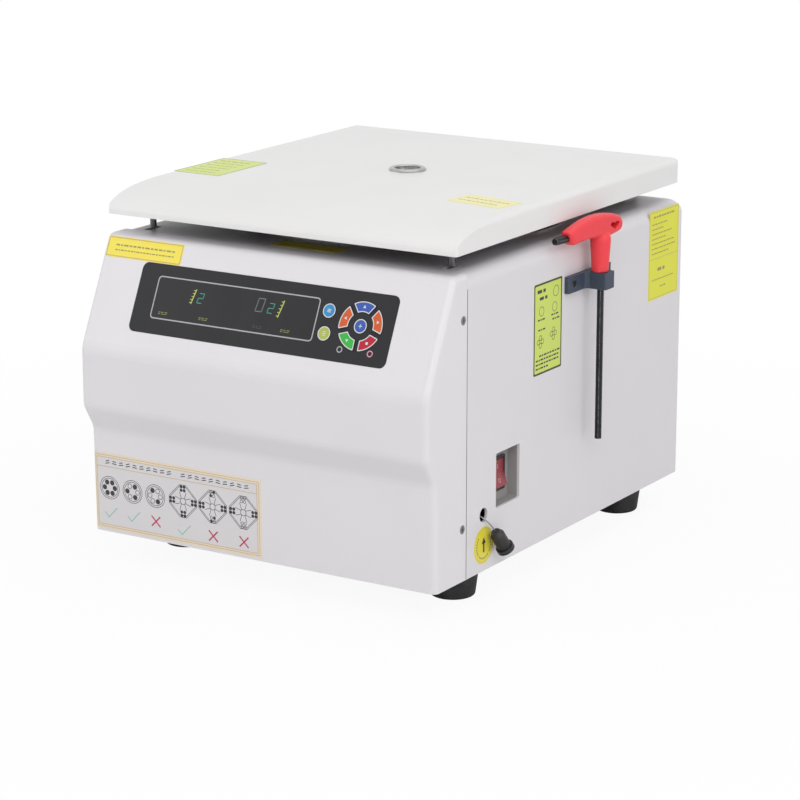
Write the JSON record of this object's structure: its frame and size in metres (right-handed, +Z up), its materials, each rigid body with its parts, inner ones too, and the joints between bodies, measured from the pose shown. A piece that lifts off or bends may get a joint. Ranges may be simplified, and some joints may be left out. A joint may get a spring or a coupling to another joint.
{
  "type": "clinical centrifuge",
  "caption": "Benchtop laboratory centrifuge: painted case on rubber feet, sloping keypad front, hinged lid with sight port, fixed-angle rotor in a steel bowl, side switch and hex key.",
  "frame": {"origin": "on the supporting surface, under the middle of the object's width and depth", "axes": "+Z up, +Y from the front panel to the back, +X to the right seen from the front"},
  "size_m": [0.3848, 0.4646, 0.3405],
  "materials": {
    "white_paint": "satin",
    "lid_paint": "satin",
    "moulding": "satin",
    "overlay": "matte",
    "window": "gloss",
    "circuit_board": "satin",
    "silicone": "matte",
    "key_indigo": "satin",
    "key_cyan": "satin",
    "key_lime": "satin",
    "key_orange": "satin",
    "key_green": "satin",
    "key_crimson": "satin",
    "tray_plastic": "matte",
    "black_plastic": "satin",
    "rocker_red": "gloss",
    "clip_plastic": "matte",
    "handle_red": "matte",
    "tool_steel": "satin",
    "steel": "brushed",
    "stainless": "satin",
    "bright_steel": "polished",
    "zinc": "satin",
    "aluminium": "satin",
    "rotor_finish": "anodised",
    "black_rubber": "matte",
    "seal_rubber": "matte",
    "glass": "clear"
  },
  "bodies": {
    "case": {"case_shell": "white_paint", "front_panel": "moulding", "control_overlay": "overlay", "display_window": "window", "display_board": "circuit_board", "keypad_mat": "silicone", "switch_tray": "tray_plastic", "power_switch_housing": "black_plastic", "key_clip": "clip_plastic", "key_clip_screws": "zinc", "front_panel_screws": "zinc", "base_pan": "zinc", "back_panel": "white_paint", "back_screws": "zinc", "mains_inlet": "black_plastic", "fan_frame": "black_plastic", "foot_screws": "zinc", "chamber_bowl": "stainless", "chamber_gasket": "seal_rubber", "motor_mounts": "black_rubber", "motor_plate": "steel", "motor_housing": "aluminium", "motor_bearings": "bright_steel", "motor_end_cap": "aluminium", "drive_board": "circuit_board", "lock_guides": "black_plastic", "lock_solenoid": "steel", "hinge_brackets": "zinc", "hinge_pins": "bright_steel", "foot_front_left": "black_rubber", "foot_front_right": "black_rubber", "foot_rear_left": "black_rubber", "foot_rear_right": "black_rubber"},
    "lid": {"lid_shell": "lid_paint", "lid_plate": "stainless", "lid_screws": "zinc", "lid_strikers": "bright_steel", "hinge_leaves": "zinc", "sight_ring": "black_plastic", "sight_glass": "glass"},
    "rotor": {"spindle": "bright_steel", "rotor_body": "rotor_finish", "rotor_nut": "stainless"},
    "fan_rotor": {"fan_blades": "black_plastic"},
    "rocker": {"power_rocker": "rocker_red"},
    "hex_key": {"hex_key_handle": "handle_red", "hex_key_blade": "tool_steel"},
    "lock": {"lock_bar": "steel", "solenoid_plunger": "bright_steel"},
    "release_pull": {"release_wire": "bright_steel", "wire_ferrule": "steel", "release_plug": "black_rubber"},
    "round_key_lower": {"round_key_lower": "key_lime"},
    "round_key_upper": {"round_key_upper": "key_cyan"},
    "centre_key": {"centre_key": "key_indigo"},
    "ring_key_top": {"ring_key_top": "key_indigo"},
    "ring_key_right": {"ring_key_right": "key_orange"},
    "ring_key_lower_right": {"ring_key_lower_right": "key_crimson"},
    "ring_key_lower_left": {"ring_key_lower_left": "key_green"},
    "ring_key_left": {"ring_key_left": "key_orange"}
  },
  "joints": [
    {"name": "lid_hinge", "type": "hinge", "parent": "case", "child": "lid", "pos_m": [-0.0121, 0.21475, 0.3065], "axis": [-1, 0, 0], "range_deg": [0, 75]},
    {"name": "rotor_spin", "type": "hinge", "parent": "case", "child": "rotor", "pos_m": [-0.0121, 0.02775, 0.165], "axis": [0, 0, 1], "continuous": true},
    {"name": "fan_spin", "type": "hinge", "parent": "case", "child": "fan_rotor", "pos_m": [0.0729, 0.21525, 0.15], "axis": [0, 1, 0], "continuous": true},
    {"name": "rocker_tilt", "type": "hinge", "parent": "case", "child": "rocker", "pos_m": [0.1549, -0.0971, 0.1055], "axis": [0, 1, 0], "range_deg": [0, 20]},
    {"name": "hex_key_lift", "type": "slide", "parent": "case", "child": "hex_key", "axis": [0, 0, 1], "range_m": [0, 0.16]},
    {"name": "lock_slide", "type": "slide", "parent": "case", "child": "lock", "axis": [-1, 0, 0], "range_m": [0, 0.007]},
    {"name": "release_pull_out", "type": "slide", "parent": "case", "child": "release_pull", "axis": [1, 0, 0], "range_m": [0, 0.007]},
    {"name": "round_key_lower_press", "type": "slide", "parent": "case", "child": "round_key_lower", "axis": [0, 0.9048, -0.4258], "range_m": [0, 0.0005], "stiffness_N_per_m": 800, "springref_m": -0.001},
    {"name": "round_key_upper_press", "type": "slide", "parent": "case", "child": "round_key_upper", "axis": [0, 0.9048, -0.4258], "range_m": [0, 0.0005], "stiffness_N_per_m": 800, "springref_m": -0.001},
    {"name": "centre_key_press", "type": "slide", "parent": "case", "child": "centre_key", "axis": [0, 0.9048, -0.4258], "range_m": [0, 0.0005], "stiffness_N_per_m": 800, "springref_m": -0.001},
    {"name": "ring_key_top_press", "type": "slide", "parent": "case", "child": "ring_key_top", "axis": [0, 0.9048, -0.4258], "range_m": [0, 0.0005], "stiffness_N_per_m": 800, "springref_m": -0.001},
    {"name": "ring_key_right_press", "type": "slide", "parent": "case", "child": "ring_key_right", "axis": [0, 0.9048, -0.4258], "range_m": [0, 0.0005], "stiffness_N_per_m": 800, "springref_m": -0.001},
    {"name": "ring_key_lower_right_press", "type": "slide", "parent": "case", "child": "ring_key_lower_right", "axis": [0, 0.9048, -0.4258], "range_m": [0, 0.0005], "stiffness_N_per_m": 800, "springref_m": -0.001},
    {"name": "ring_key_lower_left_press", "type": "slide", "parent": "case", "child": "ring_key_lower_left", "axis": [0, 0.9048, -0.4258], "range_m": [0, 0.0005], "stiffness_N_per_m": 800, "springref_m": -0.001},
    {"name": "ring_key_left_press", "type": "slide", "parent": "case", "child": "ring_key_left", "axis": [0, 0.9048, -0.4258], "range_m": [0, 0.0005], "stiffness_N_per_m": 800, "springref_m": -0.001}
  ]
}
